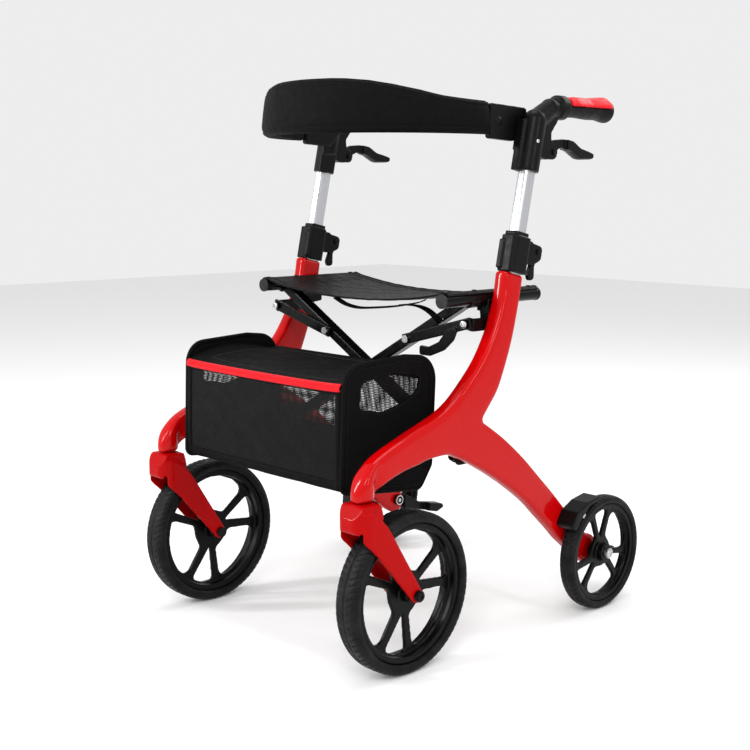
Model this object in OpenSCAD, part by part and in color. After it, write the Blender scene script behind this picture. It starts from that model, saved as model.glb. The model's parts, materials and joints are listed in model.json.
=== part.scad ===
// Folding four-wheel walking frame with a seat, a bag and a back band.
// Frame: +Z up, -Y front, +X the user's left when facing forward.
// The floor is z = 0 and the front wheel axles are at y = 0.

/* [Frame] */
// Half of the distance between the two side frames
frame_x = 243; // [240:0.5:246]
// Thickness of a side frame
frame_t = 28; // [24:1:30]
// Depth of the stepped edge around a side frame
edge_in = 5; // [2:0.5:6]
// Height of the joint between the frame and a front fork
joint_z = 283; // [281:0.5:285]

/* [Front wheels] */
// Radius of a front wheel over the tyre
front_r = 127; // [124:0.5:127]
// Width of a front tyre
front_w = 44; // [38:1:46]
// Distance from the fork's swivel axis back to the axle
trail = 90; // [86:1:92]

/* [Rear wheels] */
// Radius of a rear wheel over the tyre
rear_r = 101.5; // [99:0.5:101.5]
// Width of a rear tyre
rear_w = 30; // [26:1:32]
// Half of the distance between the rear wheels
rear_x = 275; // [274:0.5:278]
// Distance from the front axles back to the rear axles
wheelbase = 466; // [462:1:468]

/* [Handles] */
// Lean of the handle poles, in degrees
lean = 12; // [11.5:0.1:12.5]
// Width of a pole
pole_w = 20; // [18:0.5:20]
// Depth of a pole
pole_d = 25; // [22:0.5:25]
// Radius of the housing around a pole
hous_r = 19; // [18:0.5:19]

/* [Seat] */
// Half of the distance between the seat rails
rail_x = 216; // [214:0.5:217]
// Height of the seat rails
rail_z = 563; // [561:0.5:565]
// Radius of a seat rail
rail_r = 11; // [10:0.5:11.5]
// Half of the distance between the lower pivots
piv_x = 215; // [214.5:0.5:215.5]
// Height of the lower pivots
piv_z = 313; // [312.5:0.1:313.5]
// Height of the crossing bolt
cross_z = 438; // [437.5:0.1:438.5]
// Width of a cross bar
bar_w = 17; // [14:0.5:18]

/* [Back band] */
// Radius of the back band
band_r = 222; // [220:1:224]
// Thickness of the back band
band_t = 20; // [16:1:22]

/* [Bag] */
// Half width of the bag
bag_x = 192; // [188:1:194]
// How much further the bag reaches on the right
bag_out = 8; // [0:1:9]
// Thickness of the bag's cloth walls
bag_t = 3; // [2:0.5:4]

/* [Hidden] */
$fn = 64;
black = [0.05, 0.05, 0.055];
red = [0.85, 0.03, 0.03];
silver = [0.8, 0.81, 0.82];
steel = [0.6, 0.6, 0.62];
stem_y = -trail;
pole_y = 240.8;
pole_z = 600;
y_a = [146, 166];   // the bar that starts on the left frame
y_b = [167, 187];   // the bar that starts on the right frame

// Rounded polygons: each point is [u, v, corner radius]
function unit(v) = v / norm(v);
function p2(p) = [p[0], p[1]];
function fil(p, a, b, r, n) = r <= 0 ? [p2(p)] :
    let(u = unit(p2(a) - p2(p)), v = unit(p2(b) - p2(p)), ph = acos(u * v), m = unit(u + v),
        c = p2(p) + m * r / sin(ph / 2), s = p2(p) + u * r / tan(ph / 2) - c, e = p2(p) + v * r / tan(ph / 2) - c,
        a0 = atan2(s[1], s[0]), a1 = atan2(e[1], e[0]), d = ((a1 - a0 + 540) % 360) - 180)
    [for (k = [0 : n]) c + r * [cos(a0 + d * k / n), sin(a0 + d * k / n)]];
function rp(P, n = 5) = [for (i = [0 : len(P) - 1]) each fil(P[i], P[(i + len(P) - 1) % len(P)], P[(i + 1) % len(P)], P[i][2], n)];
// Smooth open curve through a list of points
function cr(a, b, c, d, t) = 0.5 * ((2 * b) + (c - a) * t + (2 * a - 5 * b + 4 * c - d) * t * t + (3 * b - a - 3 * c + d) * t * t * t);
function smooth(P, n = 3) = [for (i = [0 : len(P) - 2], k = [0 : n - 1])
    cr(P[max(i - 1, 0)], P[i], P[i + 1], P[min(i + 2, len(P) - 1)], k / n), P[len(P) - 1]];
// Points moved inward by d on a clockwise outline
function inset(P, d) = [for (i = [0 : len(P) - 1])
    let(a = P[(i + len(P) - 1) % len(P)], b = P[(i + 1) % len(P)], t = unit(b - a)) P[i] + d * [t[1], -t[0]]];
function polar(r, a) = [r * cos(a), r * sin(a)];

module px(x0, x1) translate([x0, 0, 0]) rotate([90, 0, 90]) linear_extrude(x1 - x0) children();
module py(y0, y1) translate([0, y1, 0]) rotate([90, 0, 0]) linear_extrude(y1 - y0) children();
module xcyl(x0, x1, y, z, r) translate([x0, y, z]) rotate([0, 90, 0]) cylinder(r = r, h = x1 - x0);
module ycyl(x, y0, y1, z, r) translate([x, y0, z]) rotate([-90, 0, 0]) cylinder(r = r, h = y1 - y0);
module on_pole() translate([frame_x, pole_y, pole_z]) rotate([-lean, 0, 0]) children();
module mir() mirror([1, 0, 0]) children();
module rrect(w, d, r) polygon(rp([[-w/2, -d/2, r], [w/2, -d/2, r], [w/2, d/2, r], [-w/2, d/2, r]], 4));

// Side frame outline, clockwise seen from +X: up the front edge, down the rear leg, back under
front_edge = smooth([[-107, 283], [-104, 305], [-89, 328], [-66, 346], [-18, 365], [41, 385], [69, 395], [98, 411],
    [130, 438], [162, 471], [189, 514], [204, 552], [211, 580], [215, 608.4]], 2);
rear_edge = smooth([[259, 598.8], [250, 554], [237, 503], [223, 464], [203, 420], [182, 394], [165, 375]], 2);
leg_top = smooth([[174, 367], [222, 336], [271, 298], [317, 257], [357, 221], [384, 195], [420, 161], [456, 131]], 2);
leg_end = [[474, 126], [484, 112], [487, 92], [474, 74], [450, 80]];
leg_low = smooth([[379, 134], [357, 155], [326, 182], [287, 216], [237, 251], [186, 282], [133, 310], [92, 327]], 2);
arm_low = smooth([[76, 328.5], [41, 327], [17, 322], [-13, 317], [-49, 306], [-66, 296], [-73, 283]], 2);
frame_pts = concat(front_edge, rear_edge, leg_top, leg_end, leg_low, arm_low);

module m_side_frame() difference() {
    union() {
        px(frame_x - frame_t/2 + 4, frame_x + frame_t/2 - 4) polygon(frame_pts);
        px(frame_x - frame_t/2, frame_x + frame_t/2) polygon(inset(frame_pts, edge_in));
        translate([frame_x, stem_y, joint_z]) cylinder(r = 17, h = 34);
    }
    on_pole() translate([-pole_w/2 - 0.3, -pole_d/2 - 0.3, -56]) cube([pole_w + 0.6, pole_d + 0.6, 80]);
    translate([frame_x, stem_y, joint_z - 1]) cylinder(r = 11, h = 31);
    xcyl(frame_x - 30, frame_x + 30, wheelbase, rear_r, 6);
}
module m_caster_bearings() for (z = [joint_z + 2, joint_z + 20]) translate([frame_x, stem_y, z]) difference() {
    cylinder(r = 11, h = 7);
    translate([0, 0, -1]) cylinder(r = 5, h = 9);
}
module m_caster_stem() {
    translate([frame_x, stem_y, 262]) cylinder(r = 4.95, h = 47);
    translate([frame_x, stem_y, 256]) cylinder(r = 8, h = 6);
}
blade = concat([for (k = [0 : 10]) [0, front_r] + polar(12, 27 - 16.4 * k)],
    [[-84, 205], [-98, 218], [-108, 227], [-118, 236], [-121, 244], [-115, 263], [-108, 270], [-98, 272], [-86, 267], [-76, 259], [-64, 247], [-56, 236]]);
crown = [[-116, 240], [-120, 247], [-119, 262], [-108, 281], [-72, 281], [-68, 268], [-66, 256], [-104, 256], [-110, 250], [-113, 240]];
// Plan outline that rounds the fork's shoulders
fork_plan = rp([[-30.5, 20, 0], [-30.5, -121.5, 28], [30.5, -121.5, 28], [30.5, 20, 0]], 8);
module m_caster_fork() difference() {
    intersection() {
        translate([frame_x, 0, 90]) linear_extrude(210) polygon(fork_plan);
        union() {
        px(frame_x - 30, frame_x - 23.9) polygon(blade);
        px(frame_x + 23.9, frame_x + 30) polygon(blade);
        px(frame_x - 24, frame_x + 24) polygon(crown);
        translate([frame_x, stem_y, 268]) cylinder(r = 17, h = 14.5);
        }
    }
    xcyl(frame_x - 40, frame_x + 40, 0, front_r, 4);
    translate([frame_x, stem_y, 240]) cylinder(r = 5, h = 60);
    translate([frame_x, stem_y, 240]) cylinder(r = 8, h = 22);
}
// Wheel web: a ring, a hub and three pairs of spokes between round-cornered windows
module window_small(r, c) polygon(rp([[polar(r * 0.32, c + 5)[0], polar(r * 0.32, c + 5)[1], 2],
    [polar(r, c - 15)[0], polar(r, c - 15)[1], 7], [polar(r * 1.02, c)[0], polar(r * 1.02, c)[1], 0],
    [polar(r, c + 14)[0], polar(r, c + 14)[1], 7]], 3));
module window_big(r, c) polygon(rp([[polar(r * 0.4, c - 34)[0], polar(r * 0.4, c - 34)[1], 9],
    [polar(r * 1.0, c - 37)[0], polar(r * 1.0, c - 37)[1], 13], [polar(r * 1.01, c - 18)[0], polar(r * 1.01, c - 18)[1], 0], [polar(r * 1.01, c)[0], polar(r * 1.01, c)[1], 0],
    [polar(r * 1.01, c + 18)[0], polar(r * 1.01, c + 18)[1], 0], [polar(r * 1.0, c + 37)[0], polar(r * 1.0, c + 37)[1], 13],
    [polar(r * 0.4, c + 34)[0], polar(r * 0.4, c + 34)[1], 9], [polar(r * 0.36, c)[0], polar(r * 0.36, c)[1], 0]], 4));
// r: tyre seat radius, w: rim width, b: bore radius
module rim(r, w, b, hubw, wr, ang) rotate([0, 90, 0]) rotate([0, 0, 90]) difference() {
    union() {
        translate([0, 0, -3.5]) linear_extrude(7) difference() {
            circle(r = r);
            for (k = [0 : 2]) { window_small(wr, ang + 120 * k); window_big(wr, ang + 60 + 120 * k); }
        }
        translate([0, 0, -w/2]) difference() { cylinder(r = r, h = w); translate([0, 0, -1]) cylinder(r = r * 0.905, h = w + 2); }
        translate([0, 0, -hubw/2]) cylinder(r = b + 10, h = hubw);
    }
    translate([0, 0, -hubw/2 - 1]) cylinder(r = b, h = hubw + 2);
}
function tyre_pts(r, t, w) = rp([[r, -w/2 + 3, 1], [r + t*0.45, -w/2, 4], [r + t, -w/2 + 6, 6], [r + t, w/2 - 6, 6], [r + t*0.45, w/2, 4], [r, w/2 - 3, 1]], 4);
module tyre(r, t, w) rotate([0, 90, 0]) rotate_extrude($fn = 96) polygon(tyre_pts(r, t, w));
module m_front_rim() translate([frame_x, 0, front_r]) rim(front_r - 17, 32, 4.05, 40, (front_r - 17) * 0.87, 17);
module m_front_tyre() translate([frame_x, 0, front_r]) tyre(front_r - 17, 17, front_w);
module m_front_axle() {
    xcyl(frame_x - 32, frame_x + 32, 0, front_r, 4);
    for (x = [frame_x - 35, frame_x + 30]) xcyl(x, x + 5, 0, front_r, 9);
}
module m_rear_rim() translate([rear_x, wheelbase, rear_r]) rim(rear_r - 14, 22, 6.05, 30, (rear_r - 14) * 0.86, 92);
module m_rear_tyre() translate([rear_x, wheelbase, rear_r]) tyre(rear_r - 14, 14, rear_w);
module m_rear_axle() {
    xcyl(frame_x - 18, rear_x + 20, wheelbase, rear_r, 6);
    xcyl(frame_x - 23, frame_x - 14, wheelbase, rear_r, 10);
    xcyl(rear_x + 15.5, rear_x + 22, wheelbase, rear_r, 9);
}
module m_brake_housing() difference() {
    px(frame_x + frame_t/2, frame_x + frame_t/2 + 36) polygon(rp([[360, 168, 4], [375, 191, 5], [402, 204, 5], [438, 210, 2], [440, 205, 2], [408, 196, 3], [386, 178, 3], [370, 158, 4]], 3));
    px(frame_x + frame_t/2 + 10, frame_x + frame_t/2 + 34) polygon([[389.3, 181.2], [395.6, 188.4], [405.5, 179.5], [399, 172.2]]);
}
module m_brake_shoe() px(frame_x + frame_t/2 + 10.3, frame_x + frame_t/2 + 33.7) polygon([[390.3, 181.2], [395.4, 186.9], [399.5, 183.2], [394.3, 177.4]]);
module m_step_pedal() {
    px(frame_x - frame_t/2 - 12, frame_x - frame_t/2) polygon(rp([[478, 112, 4], [492, 106, 6], [524, 88, 8], [580, 78, 6], [585, 68, 5], [562, 62, 6], [508, 76, 8], [478, 84, 4]], 3));
    px(frame_x - frame_t/2 - 26, frame_x - frame_t/2 - 12) polygon(rp([[540, 85.7, 2], [578, 78, 3], [583, 70, 3], [562, 63, 3], [536, 69, 3]], 3));
}
// Lower hinge lugs, seat rail saddle and link lug on a frame's inner face;
// f is the bar's y range, g the link's back face
in_x = frame_x - frame_t/2;
module m_hinge_bracket(f, g) {
    difference() {
        union() {
            px(in_x - 5, in_x) polygon(rp([[f[0] - 12, 336, 6], [f[1] + 12, 336, 6], [f[1] + 12, 300, 6], [f[0] - 12, 300, 6]], 3));
            for (y = [f[0] - 6, f[1] + 1]) py(y, y + 5) polygon(rp([[in_x - 4, 302, 0], [in_x - 4, 332, 0], [piv_x - 8, 324, 8], [piv_x - 10, 303, 8]], 3));
        }
        ycyl(piv_x, f[0] - 20, f[1] + 20, piv_z, 4);
    }
    ycyl(piv_x, f[0] - 9, f[1] + 9, piv_z, 4);
    ycyl(piv_x, f[0] - 12, f[0] - 6, piv_z, 7);
    ycyl(piv_x, f[1] + 6, f[1] + 12, piv_z, 7);
    difference() {
        px(rail_x - 12, in_x) polygon(rp([[206, 524, 4], [202, 562, 3], [238, 562, 3], [242, 528, 4]], 3));
        ycyl(rail_x, 150, 300, rail_z, rail_r + 0.3);
        translate([rail_x - rail_r - 20, 190, rail_z - 5]) cube([rail_r + 20 + 11.3, 60, 40]);
        translate([rail_x - 30, 190, 500]) cube([24, 70, 42]);
    }
    px(in_x - 4, in_x) polygon(rp([[g + 1, 533, 3], [228, 533, 6], [226, 512, 6], [g + 1, 512, 3]], 3));
    difference() {
        py(g + 0.8, g + 6.8) polygon(rp([[in_x - 3, 512, 0], [in_x - 3, 533, 0], [214, 534, 5], [208, 524, 4], [214, 514, 5]], 3));
        ycyl(218, g - 1, g + 9, 524, 3.5);
    }
    ycyl(218, g - 5.8, g + 7.2, 524, 3.5);
    ycyl(218, g - 10, g - 5.6, 524, 6.5);
}
module m_height_clamp() on_pole() difference() {
    union() {
        translate([1.2, -1, 3.2]) linear_extrude(59) rrect(32.6, 42, 7);
        translate([0, 0, 62.2]) linear_extrude(7) rrect(28, 33, 6);
        translate([-9, 19, 22]) cube([18, 14, 38]);
        for (x = [-9, 4]) translate([x, 0, 0]) rotate([90, 0, 90]) linear_extrude(5) polygon(rp([[30, 22, 0], [44, 24, 4], [60, 34, 8], [60, 56, 8], [30, 58, 0]], 3));
        translate([-14.8, -24, 8]) cube([10, 4, 46]);
    }
    translate([-pole_w/2 - 0.3, -pole_d/2 - 0.3, -1]) cube([pole_w + 0.6, pole_d + 0.6, 80]);
    translate([-12, 50, 46]) rotate([0, 90, 0]) cylinder(r = 3.05, h = 24);
}
module m_clamp_lever() on_pole() {
    difference() {
        translate([-3.6, 0, 0]) rotate([90, 0, 90]) linear_extrude(7.2) polygon(rp([[43, 52, 5], [56, 53, 5], [57, 40, 6], [52, 22, 8], [56, 2, 5], [45, -3, 5], [39.5, 6, 4], [43, 24, 5]], 3));
        translate([-12, 50, 46]) rotate([0, 90, 0]) cylinder(r = 3, h = 24);
    }
    translate([-11, 50, 46]) rotate([0, 90, 0]) cylinder(r = 3, h = 22);
    for (x = [-11.5, 9]) translate([x, 50, 46]) rotate([0, 90, 0]) cylinder(r = 5, h = 2.5);
}
module m_handle_pole() on_pole() difference() {
    translate([0, 0, -12]) linear_extrude(258) rrect(pole_w, pole_d, 5);
    translate([0, 0, -13]) linear_extrude(256) rrect(pole_w - 3.6, pole_d - 3.6, 3.4);
}
module m_handle_housing() difference() {
    union() {
        on_pole() translate([0, 0, 168]) cylinder(r = hous_r, h = 82);
        on_pole() translate([0, 0, 250]) sphere(r = hous_r);
        on_pole() translate([-18.2, -23.5, 166]) cube([16.2, 20, 82]);
        translate([frame_x, 292.8, 844.5]) rotate([-61, 0, 0]) cylinder(r1 = 17.8, r2 = 15.8, h = 43);
        translate([frame_x, 330.4, 865.35]) sphere(r = 16.5);
        ycyl(frame_x, 330.4, 348, 865.35, 15.8);
        ycyl(frame_x, 346, 365, 868, 20);
        px(frame_x - 9, frame_x + 9) polygon(rp([[296, 790, 0], [312, 784, 4], [341, 784, 9], [345, 803, 8], [328, 813, 6], [326, 826, 5], [348, 852, 6], [330, 862, 0], [300, 850, 0]], 3));
    }
    on_pole() translate([0, 0, 160]) linear_extrude(86.2) rrect(pole_w + 0.4, pole_d + 0.4, 5);
    translate([frame_x - 40, 200, 740]) cube([24.7, 130, 59]);
    px(frame_x - 4.5, frame_x + 4.5) polygon([[319, 770], [319, 812], [332, 826], [365, 826], [365, 770]]);
    xcyl(frame_x - 12, frame_x + 12, 333, 796, 3.05);
}
module m_grip() {
    difference() {
        translate([frame_x, 365, 868]) rotate([-90, 0, 0]) rotate_extrude() polygon(rp([[0, 0, 0], [15, 0, 1], [14.5, 30, 20], [16.5, 65, 20], [16, 90, 16], [19, 108, 10], [20, 119, 6], [15, 124, 3], [0, 124.5, 0]], 3));
        translate([frame_x - 30, 372, 871]) cube([60, 112, 40]);
    }
}
module m_grip_pad() intersection() {
    translate([frame_x, 365, 868]) rotate([-90, 0, 0]) rotate_extrude() polygon(rp([[0, 0, 0], [17, 0, 1], [19.5, 26, 16], [19, 60, 20], [22, 92, 20], [23, 108, 8], [19, 119, 5], [0, 120, 0]], 3));
    translate([frame_x - 30, 372.3, 871.3]) cube([60, 110, 40]);
}
lever_pts = rp([[322, 800, 5], [328, 806, 4], [342, 816, 10], [368, 818, 16], [388, 815, 16], [408, 804, 20], [432, 799, 6], [447, 795, 3], [443, 786, 4], [409, 785, 20], [385, 797, 18], [360, 804, 14], [344, 797, 5], [336, 787, 6], [325, 789, 5]], 3);
module m_brake_lever() {
    difference() {
        px(frame_x - 4.1, frame_x + 4.1) polygon(lever_pts);
        xcyl(frame_x - 12, frame_x + 12, 333, 796, 3);
    }
    xcyl(frame_x - 11, frame_x + 11, 333, 796, 3);
    for (x = [frame_x - 12, frame_x + 9]) xcyl(x, x + 3, 333, 796, 5);
    px(frame_x - 9, frame_x - 4.1) polygon(rp([[372, 817.6, 0], [388, 815, 12], [408, 804, 12], [432, 799, 6], [446, 795, 3], [443, 787, 4], [409, 786, 14], [385, 798, 12], [372, 801, 0]], 3));
    px(frame_x + 4.1, frame_x + 9) polygon(rp([[372, 817.6, 0], [388, 815, 12], [408, 804, 12], [432, 799, 6], [446, 795, 3], [443, 787, 4], [409, 786, 14], [385, 798, 12], [372, 801, 0]], 3));
}
module m_backrest_bracket() {
    px(frame_x - 31, frame_x - 19) polygon(rp([[206, 870, 5], [296, 866, 6], [296, 842, 5], [266, 812, 8], [206, 815, 5]], 3));
    xcyl(frame_x - 19, frame_x - 16, 226, 843, 4.5);
    xcyl(frame_x - 34, frame_x - 31, 226, 843, 4.5);
}
module m_seat_rail() {
    difference() {
        ycyl(rail_x, 108, 337, rail_z, rail_r);
        ycyl(rail_x, 107, 338, rail_z, rail_r - 2);
    }
    ycyl(rail_x, 105, 108, rail_z, rail_r + 0.6);
    ycyl(rail_x, 337, 340, rail_z, rail_r + 0.6);
    for (y = [117, 183, 320]) translate([rail_x, y, rail_z + rail_r - 0.6]) cylinder(r1 = 6, r2 = 3.5, h = 4.2);
}
bar_a = atan2(2 * (cross_z - piv_z), 2 * piv_x);
// A bar from the lower pivot on the -X side up to the rail on the +X side
module m_cross_bar(f) difference() {
    union() {
        translate([-piv_x, 0, piv_z]) rotate([0, -bar_a, 0]) translate([0, f[0], -bar_w/2]) cube([491, f[1] - f[0], bar_w]);
        ycyl(-piv_x, f[0], f[1], piv_z, bar_w/2 - 0.1);
        ycyl(rail_x, f[0], f[1], rail_z, rail_r + 3.4);
    }
    ycyl(-piv_x, f[0] - 1, f[1] + 1, piv_z, 4.05);
    ycyl(0, f[0] - 1, f[1] + 1, cross_z, 4.05);
    ycyl(rail_x, f[0] - 1, f[1] + 1, rail_z, rail_r + 0.02);
    translate([rail_x - 60, f[0] - 1, rail_z + 1]) cube([120, 30, 60]);
    translate([rail_x + 11.2, f[0] - 1, rail_z - 60]) cube([60, 30, 80]);
}
link_a = atan2(524 - 489, 218 - 88);
hook = rp([[206, 519, 4], [196, 496, 14], [176, 478, 14], [146, 466, 8], [122, 466, 4], [122, 482, 4], [142, 481, 8], [164, 491, 10], [180, 510, 4]], 3);
// g is the link's back face
// latch: the catch hook is on one side only
module m_fold_link(g, latch = true) difference() {
    union() {
        translate([88, 0, 489]) rotate([0, -link_a, 0]) translate([-9, g - 5, -9]) cube([153, 5, 18]);
        if (latch) py(g - 9, g - 4.9) polygon(hook);
    }
    ycyl(218, g - 20, g + 9, 524, 3.55);
    ycyl(88, g - 20, g + 9, 489, 3);
}
module m_backrest_pad() difference() {
    translate([0, 225.5, 0]) rotate([0, 0, -90]) rotate_extrude(angle = 82.8, $fn = 96)
        polygon(rp([[band_r - band_t/2, 822, 6], [band_r + band_t/2, 822, 8], [band_r + band_t/2 - 7, 904, 8], [band_r - band_t/2 - 7, 904, 6]], 3));
    translate([-10, -60, 780]) cube([10.4, 200, 160]);
    translate([0, 0, 780]) linear_extrude(160) polygon([[-5, 12.9], [0.5, 12.9], [6.6, 22], [6.6, 30], [-5, 30]]);
    py(-40, 240) polygon([[84, 906], [120, 901], [150, 894], [178, 885], [198, 877], [260, 868], [260, 930], [84, 930]]);
}
bag_outline = rp([[-82, 284, 12], [-76, 474, 34], [50, 480, 10], [120, 472, 40], [113, 300, 10], [88, 264, 16]], 4);
module bag_body() color(black) difference() {
    union() {
        for (x = [-bag_x - bag_out, bag_x - 4]) px(x, x + 4) polygon(bag_outline);
        px(-bag_x - bag_out + 4, bag_x - 4) union() {
            polygon([[-79, 440], [-81.5, 288], [-72, 285], [84, 266.5], [112, 300], [117, 446], [117 - bag_t, 446], [112 - bag_t, 301], [84 - 1.5, 266.5 + bag_t], [-72, 285 + bag_t], [-81.5 + bag_t, 290], [-79 + bag_t, 440]]);
        }
    }
}
module bag_flap() color(black) px(-bag_x - bag_out + 4.6, bag_x - 4.6) polygon([[-79, 441], [-74, 449], [0, 450], [70, 452], [113, 456], [116, 452], [116, 447], [70, 446.5], [0, 445], [-70, 443], [-76, 440.6]]);
module bag_zip() color(red) px(-bag_x - bag_out + 5, bag_x - 5) polygon([[-83.3, 437], [-79.3, 437], [-79.3, 440.8], [-75, 448.6], [-77, 450.2], [-83.3, 442]]);
sling = smooth([[-204.3, 570], [-150, 560], [-75, 553], [0, 551], [75, 553], [150, 560], [204.3, 570]], 2);
module seat_sling() color(black) py(110, 335) polygon(concat(sling, [for (i = [len(sling) - 1 : -1 : 0]) sling[i] + [0, 4]]));
module seat_strap() color(black) {
    py(120, 142) polygon([[128, 551.5], [142, 547], [156, 532], [160, 531.2], [158.5, 534], [144, 549], [130, 554], [128, 554.5]]);
}
module cross_bolt() color(steel) {
    ycyl(0, y_a[0] - 4, y_b[1] + 4, cross_z, 4);
    ycyl(0, y_a[0] - 5, y_a[0], cross_z, 7);
    ycyl(0, y_b[1], y_b[1] + 5, cross_z, 7);
}
module bolt_at(x, y, z) { ycyl(x, y - 4, y, z, 6.5); ycyl(x, y - 1, y + 5.1, z, 3); }

module side_frame_L() color(red) m_side_frame();
module caster_bearings_L() color(steel) m_caster_bearings();
module caster_fork_L() color(red) m_caster_fork();
module caster_stem_L() color(steel) m_caster_stem();
module front_rim_L() color(black) m_front_rim();
module front_tyre_L() color(black) m_front_tyre();
module front_axle_L() color(black) m_front_axle();
module rear_rim_L() color(black) m_rear_rim();
module rear_tyre_L() color(black) m_rear_tyre();
module rear_axle_L() color(steel) m_rear_axle();
module brake_housing_L() color(black) m_brake_housing();
module brake_shoe_L() color(steel) m_brake_shoe();
module step_pedal_L() color(black) m_step_pedal();
module hinge_bracket_L() color(black) m_hinge_bracket(y_a, y_b[0] - 1.5);
module height_clamp_L() color(black) m_height_clamp();
module clamp_lever_L() color(black) m_clamp_lever();
module handle_pole_L() color(silver) m_handle_pole();
module handle_housing_L() color(black) m_handle_housing();
module grip_L() color(black) m_grip();
module grip_pad_L() color(red) m_grip_pad();
module brake_lever_L() color(black) m_brake_lever();
module backrest_bracket_L() color(black) m_backrest_bracket();
module seat_rail_L() color(black) m_seat_rail();
module cross_bar_L() color(black) m_cross_bar(y_b);
module fold_link_L() color(black) m_fold_link(y_b[0] - 1.5);
module backrest_pad_L() color(black) m_backrest_pad();
module side_frame_R() color(red) mir() m_side_frame();
module caster_bearings_R() color(steel) mir() m_caster_bearings();
module caster_fork_R() color(red) mir() m_caster_fork();
module caster_stem_R() color(steel) mir() m_caster_stem();
module front_rim_R() color(black) mir() m_front_rim();
module front_tyre_R() color(black) mir() m_front_tyre();
module front_axle_R() color(black) mir() m_front_axle();
module rear_rim_R() color(black) mir() m_rear_rim();
module rear_tyre_R() color(black) mir() m_rear_tyre();
module rear_axle_R() color(steel) mir() m_rear_axle();
module brake_housing_R() color(black) mir() m_brake_housing();
module brake_shoe_R() color(steel) mir() m_brake_shoe();
module step_pedal_R() color(black) mir() m_step_pedal();
module hinge_bracket_R() color(black) mir() m_hinge_bracket(y_b, y_a[0] - 1.5);
module height_clamp_R() color(black) mir() m_height_clamp();
module clamp_lever_R() color(black) mir() m_clamp_lever();
module handle_pole_R() color(silver) mir() m_handle_pole();
module handle_housing_R() color(black) mir() m_handle_housing();
module grip_R() color(black) mir() m_grip();
module grip_pad_R() color(red) mir() m_grip_pad();
module brake_lever_R() color(black) mir() m_brake_lever();
module backrest_bracket_R() color(black) mir() m_backrest_bracket();
module seat_rail_R() color(black) mir() m_seat_rail();
module cross_bar_R() color(black) mir() m_cross_bar(y_a);
module fold_link_R() color(black) mir() m_fold_link(y_a[0] - 1.5, false);
module backrest_pad_R() color(black) mir() m_backrest_pad();
module bar_bolts_L() color(steel) bolt_at(88, y_b[0] - 6.6, 489);
module bar_bolts_R() color(steel) bolt_at(-88, y_a[0] - 6.6, 489);

side_frame_L();
caster_bearings_L();
caster_fork_L();
caster_stem_L();
front_rim_L();
front_tyre_L();
front_axle_L();
rear_rim_L();
rear_tyre_L();
rear_axle_L();
brake_housing_L();
brake_shoe_L();
step_pedal_L();
hinge_bracket_L();
height_clamp_L();
clamp_lever_L();
handle_pole_L();
handle_housing_L();
grip_L();
grip_pad_L();
brake_lever_L();
backrest_bracket_L();
seat_rail_L();
cross_bar_L();
fold_link_L();
backrest_pad_L();
side_frame_R();
caster_bearings_R();
caster_fork_R();
caster_stem_R();
front_rim_R();
front_tyre_R();
front_axle_R();
rear_rim_R();
rear_tyre_R();
rear_axle_R();
brake_housing_R();
brake_shoe_R();
step_pedal_R();
hinge_bracket_R();
height_clamp_R();
clamp_lever_R();
handle_pole_R();
handle_housing_R();
grip_R();
grip_pad_R();
brake_lever_R();
backrest_bracket_R();
seat_rail_R();
cross_bar_R();
fold_link_R();
backrest_pad_R();
cross_bolt();
bar_bolts_L();
bar_bolts_R();
seat_sling();
seat_strap();
bag_body();
bag_flap();
bag_zip();
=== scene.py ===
import json, math
import bpy, bmesh
import numpy as np
from mathutils import Matrix, Vector


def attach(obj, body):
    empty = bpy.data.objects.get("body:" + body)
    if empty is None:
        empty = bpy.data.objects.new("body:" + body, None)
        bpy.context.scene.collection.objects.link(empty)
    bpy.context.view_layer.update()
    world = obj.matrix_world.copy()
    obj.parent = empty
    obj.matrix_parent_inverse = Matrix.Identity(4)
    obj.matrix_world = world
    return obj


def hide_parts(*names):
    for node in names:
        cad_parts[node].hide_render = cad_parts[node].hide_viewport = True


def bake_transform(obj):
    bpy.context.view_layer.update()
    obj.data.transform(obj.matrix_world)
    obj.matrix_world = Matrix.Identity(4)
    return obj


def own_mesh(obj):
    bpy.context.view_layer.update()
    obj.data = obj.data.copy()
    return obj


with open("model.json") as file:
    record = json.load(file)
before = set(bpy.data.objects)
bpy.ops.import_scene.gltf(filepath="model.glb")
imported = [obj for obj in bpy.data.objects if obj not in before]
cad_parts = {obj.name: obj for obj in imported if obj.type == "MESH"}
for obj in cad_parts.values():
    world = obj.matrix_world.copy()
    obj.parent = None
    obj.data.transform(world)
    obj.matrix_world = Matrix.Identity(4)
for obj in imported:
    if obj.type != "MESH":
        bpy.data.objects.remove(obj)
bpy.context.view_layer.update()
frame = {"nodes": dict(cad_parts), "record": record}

N = frame["nodes"]
MM = 0.001
scene = bpy.context.scene
rng = np.random.default_rng(7)


# ---------------------------------------------------------------- camera and stage
def camera():
    a, e, roll = 0.7927, 0.15079, 0.00541
    back = Vector((math.sin(a) * math.cos(e), -math.cos(a) * math.cos(e), math.sin(e)))
    fwd = -back
    right = fwd.cross(Vector((0, 0, 1))).normalized()
    up = right.cross(fwd).normalized()
    c, s = math.cos(roll), math.sin(roll)
    r, u = c * right + s * up, -s * right + c * up
    cam = bpy.data.cameras.new("photo_camera")
    cam.sensor_width = 36.0
    cam.lens = 36.0 * 1237.0 / 750.0
    cam.clip_start, cam.clip_end = 0.05, 60
    ob = bpy.data.objects.new("photo_camera", cam)
    ob.matrix_world = Matrix(((r.x, u.x, back.x, 1.50775), (r.y, u.y, back.y, -1.31084), (r.z, u.z, back.z, 0.73816), (0, 0, 0, 1)))
    scene.collection.objects.link(ob)
    scene.camera = ob


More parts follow.
